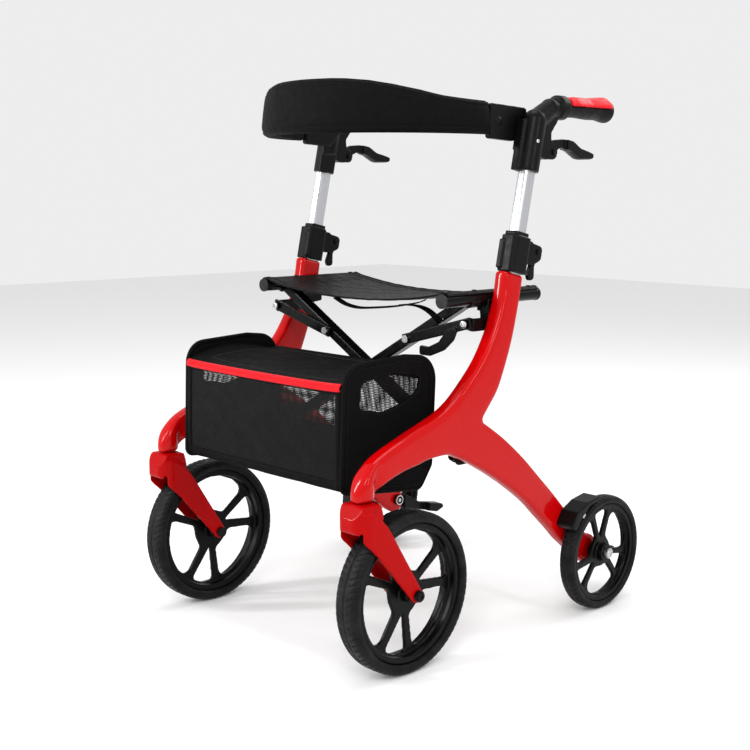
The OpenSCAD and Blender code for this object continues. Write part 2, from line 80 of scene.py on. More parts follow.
def area(name, loc, target, size, power, colour=(1, 1, 1)):
    li = bpy.data.lights.new(name, "AREA")
    li.shape = "RECTANGLE"
    li.size, li.size_y = size
    li.energy = power
    li.color = colour
    ob = bpy.data.objects.new(name, li)
    ob.location = loc
    d = Vector(target) - Vector(loc)
    ob.rotation_euler = d.to_track_quat("-Z", "Y").to_euler()
    scene.collection.objects.link(ob)


def new_obj(name, verts, faces, smooth=True):
    me = bpy.data.meshes.new(name)
    me.from_pydata([tuple(float(c) for c in v) for v in verts], [], [tuple(int(i) for i in f) for f in faces])
    me.update()
    ob = bpy.data.objects.new(name, me)
    scene.collection.objects.link(ob)
    if smooth:
        me.polygons.foreach_set("use_smooth", [True] * len(me.polygons))
    return ob


def fix_normals(ob):
    bm = bmesh.new()
    bm.from_mesh(ob.data)
    bmesh.ops.recalc_face_normals(bm, faces=bm.faces)
    bm.to_mesh(ob.data)
    bm.free()


# ---------------------------------------------------------------- materials
class Mat:
    """Small helper that builds one procedural material."""

    def __init__(self, name, colour, rough, metallic=0.0, spec=0.5, coat=0.0, coat_rough=0.1, sheen=0.0):
        self.m = bpy.data.materials.new(name)
        self.m.use_nodes = True
        self.t = self.m.node_tree
        self.t.nodes.clear()
        self.b = self.t.nodes.new("ShaderNodeBsdfPrincipled")
        out = self.t.nodes.new("ShaderNodeOutputMaterial")
        self.t.links.new(self.b.outputs[0], out.inputs[0])
        self.colour, self.rough = colour, rough
        self.b.inputs["Metallic"].default_value = metallic
        self.b.inputs["Specular IOR Level"].default_value = spec
        self.b.inputs["Coat Weight"].default_value = coat
        self.b.inputs["Coat Roughness"].default_value = coat_rough
        self.b.inputs["Sheen Weight"].default_value = sheen
        self.b.inputs["Sheen Roughness"].default_value = 0.4
        self.b.inputs["Base Color"].default_value = (*colour, 1)
        self.b.inputs["Roughness"].default_value = rough
        co = self.t.nodes.new("ShaderNodeTexCoord")
        self.pos = co.outputs["Object"]
        self.height = None

    def n(self, kind, **kw):
        nd = self.t.nodes.new(kind)
        for k, v in kw.items():
            setattr(nd, k, v)
        return nd

    def link(self, a, b):
        self.t.links.new(a, b)

    def math(self, op, a, b=None, clamp=False):
        nd = self.n("ShaderNodeMath", operation=op, use_clamp=clamp)
        for i, v in enumerate((a, b)):
            if v is None:
                continue
            if isinstance(v, (int, float)):
                nd.inputs[i].default_value = v
            else:
                self.link(v, nd.inputs[i])
        return nd.outputs[0]

    def noise(self, scale, detail=3.0, rough=0.5, stretch=None):
        nd = self.n("ShaderNodeTexNoise")
        nd.inputs["Scale"].default_value = scale
        nd.inputs["Detail"].default_value = detail
        nd.inputs["Roughness"].default_value = rough
        src = self.pos
        if stretch:
            mp = self.n("ShaderNodeMapping")
            mp.inputs["Scale"].default_value = stretch
            self.link(self.pos, mp.inputs[0])
            src = mp.outputs[0]
        self.link(src, nd.inputs["Vector"])
        return nd.outputs["Fac"]

    def remap(self, v, lo, hi, a=0.0, b=1.0):
        nd = self.n("ShaderNodeMapRange")
        nd.inputs["From Min"].default_value = lo
        nd.inputs["From Max"].default_value = hi
        nd.inputs["To Min"].default_value = a
        nd.inputs["To Max"].default_value = b
        self.link(v, nd.inputs["Value"])
        return nd.outputs[0]

    def vary_rough(self, fac, amount):
        self.link(self.remap(fac, 0.3, 0.7, self.rough - amount, self.rough + amount), self.b.inputs["Roughness"])

    def vary_colour(self, fac, other, lo=0.35, hi=0.65):
        nd = self.n("ShaderNodeMix", data_type="RGBA")
        nd.inputs["A"].default_value = (*self.colour, 1)
        nd.inputs["B"].default_value = (*other, 1)
        self.link(self.remap(fac, lo, hi), nd.inputs["Factor"])
        self.link(nd.outputs["Result"], self.b.inputs["Base Color"])
        return nd

    def add_height(self, v, weight):
        h = self.math("MULTIPLY", v, weight)
        self.height = h if self.height is None else self.math("ADD", self.height, h)

    def bump(self, strength=1.0, distance=0.001):
        nd = self.n("ShaderNodeBump")
        nd.inputs["Strength"].default_value = strength
        nd.inputs["Distance"].default_value = distance
        self.link(self.height, nd.inputs["Height"])
        self.link(nd.outputs[0], self.b.inputs["Normal"])
        return self.m

    def weave(self, pitch):
        """Height of a plain weave, from three crossed waves so that it needs no UVs."""
        sep = self.n("ShaderNodeSeparateXYZ")
        self.link(self.pos, sep.inputs[0])
        k = 2 * math.pi / pitch
        s = [self.math("SINE", self.math("MULTIPLY", sep.outputs[i], k)) for i in range(3)]
        a = self.math("MULTIPLY", s[0], s[1])
        b = self.math("MULTIPLY", s[1], s[2])
        c = self.math("MULTIPLY", s[0], s[2])
        return self.math("MULTIPLY", self.math("ADD", self.math("ADD", a, b), c), 0.5)

    def edges(self):
        geo = self.n("ShaderNodeNewGeometry")
        return geo.outputs["Pointiness"]


def lacquer(name, colour, deep, rough, coat):
    m = Mat(name, colour, rough, spec=0.035, coat=coat, coat_rough=0.03)
    m.vary_colour(m.noise(5, 2), deep, 0.35, 0.75)
    m.vary_rough(m.noise(30, 5, 0.6), 0.04)
    m.add_height(m.noise(500, 2), 0.3)
    return m.bump(0.12, 0.00006)


def moulded(name, colour, rough, grain=2600, depth=0.00006, tone_and_edge_highlight=(0.006, 0.006, 0.0062)):
    m = Mat(name, tuple(c * 0.16 for c in colour), max(0.16, rough - 0.10), spec=0.11)
    # painted highlight: convex edges, found by pointiness, are mixed towards the lighter last colour, together with
    # random tone from the noise
    e = m.remap(m.edges(), 0.52, 0.62)
    m.vary_colour(m.math("ADD", m.math("MULTIPLY", m.noise(45, 4), 0.5), m.math("MULTIPLY", e, 0.6)), tone_and_edge_highlight, 0.3, 0.9)
    m.vary_rough(m.noise(70, 5, 0.6), 0.08)
    m.add_height(m.noise(grain, 2, 0.6), 1.0)
    return m.bump(0.6, depth)


def cloth(name, colour, light, pitch=0.0011, rough=0.85, sheen=0.25, depth=0.0002):
    dark = colour[0] < 0.1
    colour, light = (tuple(c * 0.16 for c in colour), tuple(c * 0.11 for c in light)) if dark else (colour, light)
    m = Mat(name, colour, rough - 0.15, spec=0.07, sheen=0.0 if dark else sheen * 0.3)
    w = m.weave(pitch)
    m.vary_colour(m.math("ADD", m.math("MULTIPLY", w, 0.3), m.noise(14, 3, 0.5)), light, 0.3, 1.0)
    m.vary_rough(m.noise(90, 4), 0.06)
    m.add_height(w, 1.0)
    m.add_height(m.noise(22, 3, 0.5), 0.45)
    return m.bump(0.5, depth)


def rubber(name, colour, rough, grain=900, depth=0.00012):
    m = Mat(name, tuple(c * (0.16 if colour[0] < 0.1 else 0.85) for c in colour), rough - 0.12, spec=0.12)
    m.vary_colour(m.noise(30, 5, 0.6), tuple(c * 1.2 + 0.002 for c in colour), 0.4, 0.9)
    m.vary_rough(m.noise(50, 5), 0.1)
    m.add_height(m.noise(grain, 3, 0.6), 1.0)
    return m.bump(0.7, depth)


def brushed(name, colour, rough, stretch):
    m = Mat(name, colour, rough, metallic=1.0)
    f = m.noise(60, 6, 0.7, stretch)
    m.vary_colour(f, tuple(c * 0.82 for c in colour), 0.3, 0.8)
    m.vary_rough(f, 0.1)
    m.add_height(f, 1.0)
    return m.bump(0.3, 0.00005)


M = {
    "frame_red": lacquer("frame_red", (0.44, 0.0003, 0.001), (0.40, 0.0002, 0.0008), 0.26, 0.30),
    "fork_red": lacquer("fork_red", (0.36, 0.0004, 0.001), (0.32, 0.0003, 0.0009), 0.42, 0.07),
    "wheel_black": moulded("wheel_black", (0.010, 0.010, 0.011), 0.42, 1800, 0.00005),
    "tyre": rubber("tyre", (0.011, 0.011, 0.012), 0.62),
    "cap_black": moulded("cap_black", (0.008, 0.008, 0.009), 0.18, 500, 0.00002),
    "plastic_black": moulded("plastic_black", (0.012, 0.012, 0.013), 0.46),
    # the last colour of metal_black is much lighter than its base: painted highlight along its edges, with random tone
    "metal_black": moulded("metal_black", (0.012, 0.012, 0.013), 0.34, 3200, 0.00004, (0.03, 0.03, 0.03)),
    "pole_silver": brushed("pole_silver", (0.56, 0.57, 0.59), 0.40, (1.0, 1.0, 0.03)),
    "steel": brushed("steel", (0.55, 0.55, 0.56), 0.28, (1.0, 0.2, 1.0)),
    "grip_black": rubber("grip_black", (0.012, 0.012, 0.013), 0.6, 1500, 0.00010),
    "grip_red": rubber("grip_red", (0.66, 0.006, 0.012), 0.42, 1300, 0.00006),
    "pad_fabric": cloth("pad_fabric", (0.009, 0.009, 0.010), (0.020, 0.020, 0.022), 0.0012, 0.8, 0.15),
    "seat_fabric": cloth("seat_fabric", (0.013, 0.013, 0.0125), (0.028, 0.028, 0.026), 0.0010, 0.6, 0.1),
    "webbing": cloth("webbing", (0.010, 0.010, 0.011), (0.024, 0.024, 0.026), 0.0022, 0.8, 0.2, 0.0004),
    "bag_fabric": cloth("bag_fabric", (0.007, 0.007, 0.0078), (0.017, 0.017, 0.019), 0.0009, 0.82, 0.12),
    "bag_mesh": moulded("bag_mesh", (0.010, 0.010, 0.011), 0.6, 2000, 0.00005),
    "thread": cloth("thread", (0.09, 0.09, 0.094), (0.14, 0.14, 0.145), 0.0008, 0.7, 0.2),
    "zip_red": cloth("zip_red", (0.70, 0.006, 0.012), (0.55, 0.004, 0.01), 0.0012, 0.6, 0.2, 0.0003),
}
M["grip_red"].name = "grip_red"


def setmat(ob, key):
    ob.data.materials.clear()
    ob.data.materials.append(M[key])


slot_of = {s["node"]: s["material_slot"] for s in frame["record"]["subparts"]}
for name, ob in N.items():
    for i in range(max(1, len(ob.material_slots))):
        if not ob.material_slots:
            ob.data.materials.append(M[slot_of[name]])
        ob.material_slots[i].link = "OBJECT"
        ob.material_slots[i].material = M[slot_of[name]]

BODY = {n: b for b, ns in frame["record"]["behaviour"]["bodies"].items() for n in ns}


def place(ob, body, mat, slot=None, replaces=()):
    setmat(ob, mat)
    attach(ob, body)
    slot or mat
    for n in replaces:
        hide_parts(n)
    return ob


# ---------------------------------------------------------------- shape helpers
def apply_mods(ob):
    dg = bpy.context.evaluated_depsgraph_get()
    me = bpy.data.meshes.new_from_object(ob.evaluated_get(dg))
    ob.modifiers.clear()
    old = ob.data
    ob.data = me
    bpy.data.meshes.remove(old)
    me.polygons.foreach_set("use_smooth", [True] * len(me.polygons))


def copy_node(node, name):
    src = N[node]
    co = np.zeros(len(src.data.vertices) * 3)
    src.data.vertices.foreach_get("co", co)
    ob = new_obj(name, co.reshape(-1, 3), [list(p.vertices) for p in src.data.polygons])
    bm = bmesh.new()
    bm.from_mesh(ob.data)
    bmesh.ops.remove_doubles(bm, verts=bm.verts, dist=1e-6)
    bm.to_mesh(ob.data)
    bm.free()
    return ob


def soften(ob, voxel, rounds, factor=0.5, subdiv=0):
    r = ob.modifiers.new("r", "REMESH")
    r.mode = "VOXEL"
    r.voxel_size = voxel
    s = ob.modifiers.new("s", "SMOOTH")
    s.factor = factor
    s.iterations = rounds
    if subdiv:
        d = ob.modifiers.new("d", "SUBSURF")
        d.levels = d.render_levels = subdiv
    apply_mods(ob)
    return ob


def mirrored(ob, name):
    co = np.zeros(len(ob.data.vertices) * 3)
    ob.data.vertices.foreach_get("co", co)
    co = co.reshape(-1, 3) * [-1, 1, 1]
    return new_obj(name, co, [list(p.vertices)[::-1] for p in ob.data.polygons])


def moulded_pair(node, voxel, rounds, mat, both=True):
    """A softened copy of a CAD node on each side: same size, moulded edges."""
    a = soften(copy_node(node + "_L", "soft_" + node + "_L"), voxel, rounds)
    b = mirrored(a, "soft_" + node + "_R")
    place(a, BODY[node + "_L"], mat, None, [node + "_L"])
    place(b, BODY[node + "_R"], mat, None, [node + "_R"])
    return a, b


def catmull(P, n, closed=False):
    P = np.array(P, float)
    out = []
    L = len(P)
    for i in range(L if closed else L - 1):
        if closed:
            a, b, c, d = P[(i - 1) % L], P[i], P[(i + 1) % L], P[(i + 2) % L]
        else:
            a, b, c, d = P[max(i - 1, 0)], P[i], P[i + 1], P[min(i + 2, L - 1)]
        for k in range(n):
            t = k / n
            out.append(0.5 * (2 * b + (c - a) * t + (2 * a - 5 * b + 4 * c - d) * t * t + (3 * b - a - 3 * c + d) * t ** 3))
    if not closed:
        out.append(P[-1])
    return np.array(out)


def inset(P, d):
    """Moves a clockwise closed outline inward by d, in small steps."""
    steps = max(1, int(math.ceil(d / 0.5)))
    P = P.copy()
    for _ in range(steps):
        t = np.roll(P, -1, 0) - np.roll(P, 1, 0)
        t /= np.linalg.norm(t, axis=1, keepdims=True) + 1e-9
        P += (d / steps) * np.stack([t[:, 1], -t[:, 0]], 1)
        # even the spacing a little, along the outline only
        m = (np.roll(P, -1, 0) + np.roll(P, 1, 0)) / 2 - P
        P += 0.2 * t * (m * t).sum(1, keepdims=True)
    return P


def plate(name, outline, xc, half, rings):
    """A plate in the YZ plane from a clockwise outline (mm). rings: (inset, fraction of the half thickness), outside in."""
    secs = []
    for ins, fr in rings:
        P = inset(outline, ins) if ins else outline
        secs.append((P, fr))
    order = [(P, -fr) for P, fr in reversed(secs)] + [(P, fr) for P, fr in secs[(1 if secs[0][1] == 0 else 0):]]
    n = len(outline)
    verts, faces = [], []
    for P, fr in order:
        for y, z in P:
            verts.append(((xc + fr * half) * MM, y * MM, z * MM))
    for r in range(len(order) - 1):
        for i in range(n):
            j = (i + 1) % n
            faces.append((r * n + i, r * n + j, (r + 1) * n + j, (r + 1) * n + i))
    faces.append(tuple(range(n)))
    faces.append(tuple(range((len(order) - 1) * n, len(order) * n))[::-1])
    ob = new_obj(name, verts, faces)
    fix_normals(ob)
    return ob


def tube(name, pts, r, sides=10, closed=False, flat=1.0):
    """A round or flattened tube along points in metres."""
    P = np.array(pts, float)
    n = len(P)
    T = (np.roll(P, -1, 0) - np.roll(P, 1, 0)) if closed else np.gradient(P, axis=0)
    T /= np.linalg.norm(T, axis=1, keepdims=True) + 1e-12
    ref = np.array([0, 0, 1.0]) if abs(T[0][2]) < 0.9 else np.array([1.0, 0, 0])
    u = np.cross(T[0], ref)
    u /= np.linalg.norm(u)
    verts, faces = [], []
    for i in range(n):
        u = u - T[i] * (u @ T[i])
        u /= np.linalg.norm(u)
        v = np.cross(T[i], u)
        for k in range(sides):
            a = 2 * math.pi * k / sides
            verts.append(P[i] + r * (math.cos(a) * u + flat * math.sin(a) * v))
    m = n if closed else n - 1
    for i in range(m):
        j = (i + 1) % n
        for k in range(sides):
            l = (k + 1) % sides
            faces.append((i * sides + k, i * sides + l, j * sides + l, j * sides + k))
    if not closed:
        faces.append(tuple(range(sides))[::-1])
        faces.append(tuple(range((n - 1) * sides, n * sides)))
    ob = new_obj(name, verts, faces)
    fix_normals(ob)
    return ob


def merged(name, obs):
    verts, faces, base = [], [], 0
    for o in obs:
        verts += [tuple(v.co) for v in o.data.vertices]
        faces += [[base + i for i in p.vertices] for p in o.data.polygons]
        base += len(o.data.vertices)
    ob = new_obj(name, verts, faces)
    for o in obs:
        bpy.data.objects.remove(o)
    return ob


def stitches(name, pts, step=0.0045, length=0.003, r=0.00035, lift=None):
    """A row of separate thread stitches along a line of points."""
    P = np.array(pts, float)
    seg = np.linalg.norm(np.diff(P, axis=0), axis=1)
    s = np.concatenate([[0], np.cumsum(seg)])
    parts = []
    t = step / 2
    while t + length < s[-1]:
        q = [np.array([np.interp(t + f * length, s, P[:, i]) for i in range(3)]) for f in (0, 0.5, 1)]
        parts.append(q)
        t += step
    verts, faces, b = [], [], 0
    for q in parts:
        d = q[2] - q[0]
        d /= np.linalg.norm(d) + 1e-12
        ref = np.array([0, 0, 1.0]) if abs(d[2]) < 0.9 else np.array([1.0, 0, 0])
        u = np.cross(d, ref); u /= np.linalg.norm(u)
        v = np.cross(d, u)
        for j, c in enumerate(q):
            rr = r * (1.0 if j == 1 else 0.5)
            for k in range(5):
                a = 2 * math.pi * k / 5
                verts.append(c + rr * (math.cos(a) * u + math.sin(a) * v))
        for j in range(2):
            for k in range(5):
                l = (k + 1) % 5
                faces.append((b + j * 5 + k, b + j * 5 + l, b + (j + 1) * 5 + l, b + (j + 1) * 5 + k))
        faces.append(tuple(b + k for k in range(5))[::-1])
        faces.append(tuple(b + 10 + k for k in range(5)))
        b += 15
    return new_obj(name, verts, faces)


# ---------------------------------------------------------------- side frames
front_edge = catmull([(-107, 283), (-104, 305), (-89, 328), (-66, 346), (-18, 365), (41, 385), (69, 395), (98, 411), (130, 438), (162, 471), (189, 514), (204, 552), (211, 580), (215, 608.4)], 5)
rear_edge = catmull([(259, 598.8), (250, 554), (237, 503), (223, 464), (203, 420), (182, 394), (165, 375)], 6)
leg_top = catmull([(174, 367), (222, 336), (271, 298), (317, 257), (357, 221), (384, 195), (420, 161), (456, 131)], 6)
leg_end = catmull([(456, 131), (474, 126), (484, 112), (487, 92), (474, 74), (450, 80), (379, 134)], 5)[3:-3]
leg_low = catmull([(379, 134), (357, 155), (326, 182), (287, 216), (237, 251), (186, 282), (133, 310), (92, 327)], 6)
arm_low = catmull([(76, 328.5), (41, 327), (17, 322), (-13, 317), (-49, 306), (-66, 296), (-73, 283)], 6)
outline = np.concatenate([front_edge, [(237, 603.6)], rear_edge, [(166.5, 370.5)], leg_top, leg_end, leg_low, [(84, 328.2)], arm_low, [(-90, 283)]])
# even spacing
def resample(P, step):
    Q = np.concatenate([P, P[:1]])
    s = np.concatenate([[0], np.cumsum(np.linalg.norm(np.diff(Q, axis=0), axis=1))])
    t = np.linspace(0, s[-1], int(s[-1] / step), endpoint=False)
    return np.stack([np.interp(t, s, Q[:, 0]), np.interp(t, s, Q[:, 1])], 1)
outline = resample(outline, 4.0)
for _ in range(3):
    outline = outline * 0.6 + 0.2 * (np.roll(outline, 1, 0) + np.roll(outline, -1, 0))
def pillow(name, outline, xc, half, prof, spacing=4.5):
    """A solid plate in the YZ plane whose two faces roll off towards the outline.
    prof: (distance in from the outline, fraction of the half thickness)."""
    from mathutils.geometry import delaunay_2d_cdt
    B = np.asarray(outline, float)
    C = np.roll(B, -1, 0)

    def dist(P):
        out = np.full(len(P), 1e9)
        for p, q in zip(B, C):
            d = q - p
            t = np.clip(((P - p) @ d) / (d @ d), 0, 1)
            out = np.minimum(out, np.linalg.norm(P - p - t[:, None] * d, axis=1))
        return out

    def inside(P):
        ins = np.zeros(len(P), bool)
        for (x1, y1), (x2, y2) in zip(B, C):
            if y1 == y2:
                continue
            hit = ((y1 > P[:, 1]) != (y2 > P[:, 1])) & (P[:, 0] < (x2 - x1) * (P[:, 1] - y1) / (y2 - y1) + x1)
            ins ^= hit
        return ins
    t = C - np.roll(B, 1, 0)
    t /= np.linalg.norm(t, axis=1, keepdims=True)
    nrm = np.stack([t[:, 1], -t[:, 0]], 1)
    pts = []
    for d in [p[0] for p in prof if p[0] > 0]:
        P = B + nrm * d
        ok = inside(P) & (dist(P) > d * 0.93)
        pts.append(P[ok])
    last = prof[-1][0]
    gx, gy = np.meshgrid(np.arange(B[:, 0].min(), B[:, 0].max(), spacing), np.arange(B[:, 1].min(), B[:, 1].max(), spacing))
    G = np.stack([gx.ravel(), gy.ravel()], 1)
    G[:, 0] += (np.round(G[:, 1] / spacing) % 2) * spacing / 2
    G = G[inside(G)]
    G = G[dist(G) > last + spacing * 0.5]
    P = np.concatenate([B] + pts + [G])
    nb = len(B)
    res = delaunay_2d_cdt([Vector(p) for p in P], [], [list(range(nb))], 1, 1e-5)
    V2 = np.array([[v.x, v.y] for v in res[0]])
    F = [list(f) for f in res[2]]
    D = dist(V2)
    on = D < 1e-3
    h = np.interp(D, [p[0] for p in prof], [p[1] for p in prof]) * half
    n = len(V2)
    verts = np.concatenate([np.stack([xc + h, V2[:, 0], V2[:, 1]], 1), np.stack([xc - h, V2[:, 0], V2[:, 1]], 1)]) * MM
    faces = [tuple(f) for f in F] + [tuple(n + i for i in f[::-1]) for f in F]
    count = {}
    for f in F:
        for i in range(len(f)):
            e = (f[i], f[(i + 1) % len(f)])
            count[tuple(sorted(e))] = None if tuple(sorted(e)) in count else e
    for e in count.values():
        if e:
            faces.append((e[1], e[0], n + e[0], n + e[1]))
    ob = new_obj(name, verts, faces)
    fix_normals(ob)
    return ob


PROF = [(0, 0.30), (0.35, 0.47), (0.9, 0.61), (1.8, 0.75), (3.2, 0.865), (5.2, 0.94), (7.5, 0.972), (11, 0.99), (15, 1.0)]


def side_frame():
    ob = pillow("side_casting_L", outline, 243, 14.0, PROF)
    # the front arm turns into a round collar above the fork
    co = np.array([v.co for v in ob.data.vertices])
    y, z = co[:, 1] / MM, co[:, 2] / MM
    w = np.clip((-52 - y) / 30, 0, 1) * np.clip((345 - z) / 45, 0, 1)
    w = w * w * (3 - 2 * w)
    dx, dy = co[:, 0] / MM - 243, y + 90
    u = np.clip(dy / 17, -1, 1)
    half = 14 * np.interp(16.9 - np.abs(dy), [p[0] for p in PROF], [p[1] for p in PROF])
    round_x = dx / np.maximum(half, 1e-3) * 17 * np.sqrt(np.maximum(0, 1 - u * u))
    co[:, 0] = (243 + dx * (1 - w) + round_x * w) * MM
    ob.data.vertices.foreach_set("co", co.ravel())
    ob.data.update()
    return ob


a = side_frame()
b = mirrored(a, "side_casting_R")
place(a, "left_frame", "frame_red", None, ["side_frame_L"])
place(b, "right_frame", "frame_red", None, ["side_frame_R"])

# ---------------------------------------------------------------- moulded parts
for node, voxel, rounds, mat in (
    ("caster_fork", 0.0016, 12, "fork_red"), ("handle_housing", 0.0014, 5, "plastic_black"), ("height_clamp", 0.0011, 4, "plastic_black"),
    ("clamp_lever", 0.0008, 5, "plastic_black"), ("brake_lever", 0.0010, 14, "plastic_black"), ("step_pedal", 0.0012, 5, "plastic_black"),
    ("brake_housing", 0.0013, 5, "plastic_black"), ("backrest_bracket", 0.0013, 5, "plastic_black"), ("front_rim", 0.0016, 4, "wheel_black"),
    ("rear_rim", 0.0014, 4, "wheel_black"), ("grip", 0.0011, 6, "grip_black"), ("grip_pad", 0.0010, 6, "grip_red"),
):
    moulded_pair(node, voxel, rounds, mat)
for node, voxel, rounds in (("fold_link", 0.0009, 2), ("hinge_bracket", 0.0011, 2), ("cross_bar", 0.0014, 3)):
    for side in ("_L", "_R"):
        o = soften(copy_node(node + side, "soft_" + node + side), voxel, rounds)
        place(o, BODY[node + side], "metal_black", None, [node + side])


# ---------------------------------------------------------------- tyres
def tyre(name, x, y, z, seat, t, w):
    half = [(w / 2 - 3, 0), (w / 2 - 0.7, 0.16 * t), (w / 2, 0.40 * t), (w / 2 - 0.7, 0.62 * t), (w / 2 - 2.8, 0.82 * t), (w / 2 - 6, 0.935 * t), (w / 2 - 10, 0.985 * t)]
    prof = catmull([(-a, b) for a, b in half] + [(-2.2, t), (2.2, t)] + [(a, b) for a, b in half[::-1]], 4)
    R = seat + t
    n = int(2 * math.pi * R / 1.25 / 8) * 8
    ang = np.arange(n) * 2 * math.pi / n
    m = len(prof)
    px, pr = prof[:, 0][None, :], (seat + prof[:, 1])[None, :]
    A = ang[:, None]
    pitches = round(2 * math.pi * R / 10.5)
    arc = A * pitches / (2 * math.pi) + np.where(px > 0, 0.5, 0.0) + np.abs(px) * 0.055
    ph = np.mod(arc, 1.0)
    lateral = np.clip((0.13 - np.abs(ph - 0.5)) / 0.05, 0, 1) * np.clip((np.abs(px) - 4.5) / 1.2, 0, 1)
    band = np.clip((pr - (seat + 0.60 * t)) / 1.2, 0, 1)
    groove = np.clip((1.5 - np.abs(px)) / 0.7, 0, 1) * (px != 99)
    knurl = (0.5 + 0.5 * np.sin(A * pitches * 3)) * np.clip((pr - (seat + 0.45 * t)) / 1.0, 0, 1) * np.clip((seat + 0.72 * t - pr) / 1.0, 0, 1)
    r = pr - 1.3 * lateral * band - 1.0 * groove - 0.35 * knurl
    r = np.minimum(r, R)
    X = np.broadcast_to(px, r.shape)
    verts = np.stack([(x + X) * MM, (y + r * np.cos(A)) * MM, (z + r * np.sin(A)) * MM], -1).reshape(-1, 3)
    i, j = np.meshgrid(np.arange(n), np.arange(m), indexing="ij")
    i2, j2 = (i + 1) % n, (j + 1) % m
    faces = np.stack([i * m + j, i2 * m + j, i2 * m + j2, i * m + j2], -1).reshape(-1, 4)
    ob = new_obj(name, verts, faces)
    fix_normals(ob)
    return ob


for s, side in ((1, "L"), (-1, "R")):
    place(tyre("tread_front_" + side, s * 243, 0, 127, 110, 17, 44), BODY["front_tyre_" + side], "tyre", None, ["front_tyre_" + side])
    place(tyre("tread_rear_" + side, s * 275, 466, 101.5, 87.5, 14, 30), BODY["rear_tyre_" + side], "tyre", None, ["rear_tyre_" + side])


# ---------------------------------------------------------------- fittings
def bolt_head(name, body, centre, axis, r, h, mat="steel", socket=0.5, like=None):
    """A domed head with a hexagonal socket, its underside on centre, standing out along axis (mm)."""
    c, a = np.array(centre, float), np.array(axis, float)
    u = np.array([0, 0, 1.0]) if abs(a[2]) < 0.9 else np.array([1.0, 0, 0])
    v = np.cross(a, u)
    n = 36
    rings = [(0, 1, 0), (0.35 * h, 1, 0), (0.7 * h, 0.92, 0), (0.93 * h, 0.76, 0), (h, 0.62, 0), (h, socket, 1), (0.45 * h, socket * 0.97, 1)]
    verts, faces = [], []
    for hh, rr, hexa in rings:
        for k in range(n):
            t = 2 * math.pi * k / n
            q = rr * r
            if hexa:
                q *= math.cos(math.pi / 6) / math.cos((t % (math.pi / 3)) - math.pi / 6)
            verts.append((c + a * hh + q * (math.cos(t) * u + math.sin(t) * v)) * MM)
    for i in range(len(rings) - 1):
        for k in range(n):
            l = (k + 1) % n
            faces.append((i * n + k, i * n + l, (i + 1) * n + l, (i + 1) * n + k))
    faces.append(tuple(range(n))[::-1])
    faces.append(tuple(range((len(rings) - 1) * n, len(rings) * n)))
    ob = new_obj(name, verts, faces)
    fix_normals(ob)
    m = ob.modifiers.new("e", "EDGE_SPLIT")
    m.split_angle = math.radians(35)
    apply_mods(ob)
    return place(ob, body, mat)


for s, side in ((1, "L"), (-1, "R")):
    fr, hd = ("left_frame", "right_frame")[s < 0], BODY["handle_housing_" + side]
    g = 165.5 if s > 0 else 144.5
    bolt_head("link_bolt_" + side, fr, (s * 218, g - 10, 524), (0, -1, 0), 6.4, 2.2)
    bolt_head("bar_bolt_head_" + side, BODY["bar_bolts_" + side], (s * 88, (160.4 if s > 0 else 139.4), 489), (0, -1, 0), 6.4, 2.4)
    bolt_head("axle_cap_out_" + side, BODY["front_axle_" + side], (s * 278, 0, 127), (s, 0, 0), 8.4, 2.4, "cap_black", 0.42)
    bolt_head("rear_cap_" + side, fr, (s * 297, 466, 101.5), (s, 0, 0), 7.6, 1.6, "steel", 0.5)
    bolt_head("axle_inner_cap_" + side, fr, (s * 228.6, 466, 101.5), (-s, 0, 0), 10.6, 9.4, "cap_black", 0.42)
    bolt_head("housing_screw_" + side, hd, (s * 260.6, 280, 812), (s * 0.95, -0.31, 0), 3.0, 1.3, "steel", 0.45)
    bolt_head("bracket_screw_" + side, hd, (s * 212.5, 226, 843), (-s, 0, 0), 3.4, 1.2, "steel", 0.45)
bolt_head("strap_bolt", BODY["seat_strap"], (165.5, 161.6, 527), (0, -1, 0), 4.6, 1.6)
bolt_head("cross_bolt_head", BODY["cross_bolt"], (0, 141, 438), (0, -1, 0), 6.8, 2.4)


# ---------------------------------------------------------------- back band
def pad_top(x):
    return np.interp(abs(x), [0, 60, 84, 120, 150, 178, 198, 222], [904, 903.5, 902.5, 899, 893, 885, 877, 871])


def back_band():
    na, ns = 150, 44
    th = np.radians(np.linspace(-174.5, -5.5, na))
    verts, faces = [], []
    edge_lines = {"top": [], "bottom": []}
    for i, a in enumerate(th):
        x0 = 222 * math.cos(a)
        top, bot = float(pad_top(x0)), 822.3
        if abs(x0) < 60:
            bot = 822.0
        h = (top - bot) / 2
        zc = (top + bot) / 2
        endw = min(1.0, math.sqrt(max(0.0, min(i, na - 1 - i) / 3.0)) * 0.5 + 0.5)
        for k in range(ns):
            t = 2 * math.pi * k / ns
            cu, su = math.cos(t), math.sin(t)
            zz = h * math.copysign(abs(su) ** 0.38, su)
            nn = 10.0 * math.copysign(abs(cu) ** 0.55, cu) * endw
            f = abs(zz) / h
            # the stitched line near each edge pulls the cover in
            pinch = math.exp(-((abs(zz) - (h - 7.5)) / 1.7) ** 2)
            nn *= 1 - 0.17 * pinch
            nn *= 0.80 + 0.20 * math.sqrt(max(0.0, 1 - f * f)) + 0.02 * math.sin(a * 23 + zz * 0.05) * (1 - f)
            wr = 0.28 * math.sin(a * 61 + zz * 0.11) * math.exp(-((h - abs(zz)) / 16) ** 2)
            rr = 222 + nn + wr * (1 if nn > 0 else -1) - 3.5 - 7 * np.clip((zz + zc - 850) / 60, -0.2, 1) + 1.5
            verts.append((rr * math.cos(a) * MM, (225.5 + rr * math.sin(a)) * MM, (zc + zz) * MM))
    for i in range(na - 1):
        for k in range(ns):
            l = (k + 1) % ns
            faces.append((i * ns + k, i * ns + l, (i + 1) * ns + l, (i + 1) * ns + k))
    faces.append(tuple(range(ns))[::-1])
    faces.append(tuple(range((na - 1) * ns, na * ns)))
    ob = new_obj("back_band", verts, faces)
    fix_normals(ob)
    V = np.array(verts).reshape(na, ns, 3)
    return ob, V


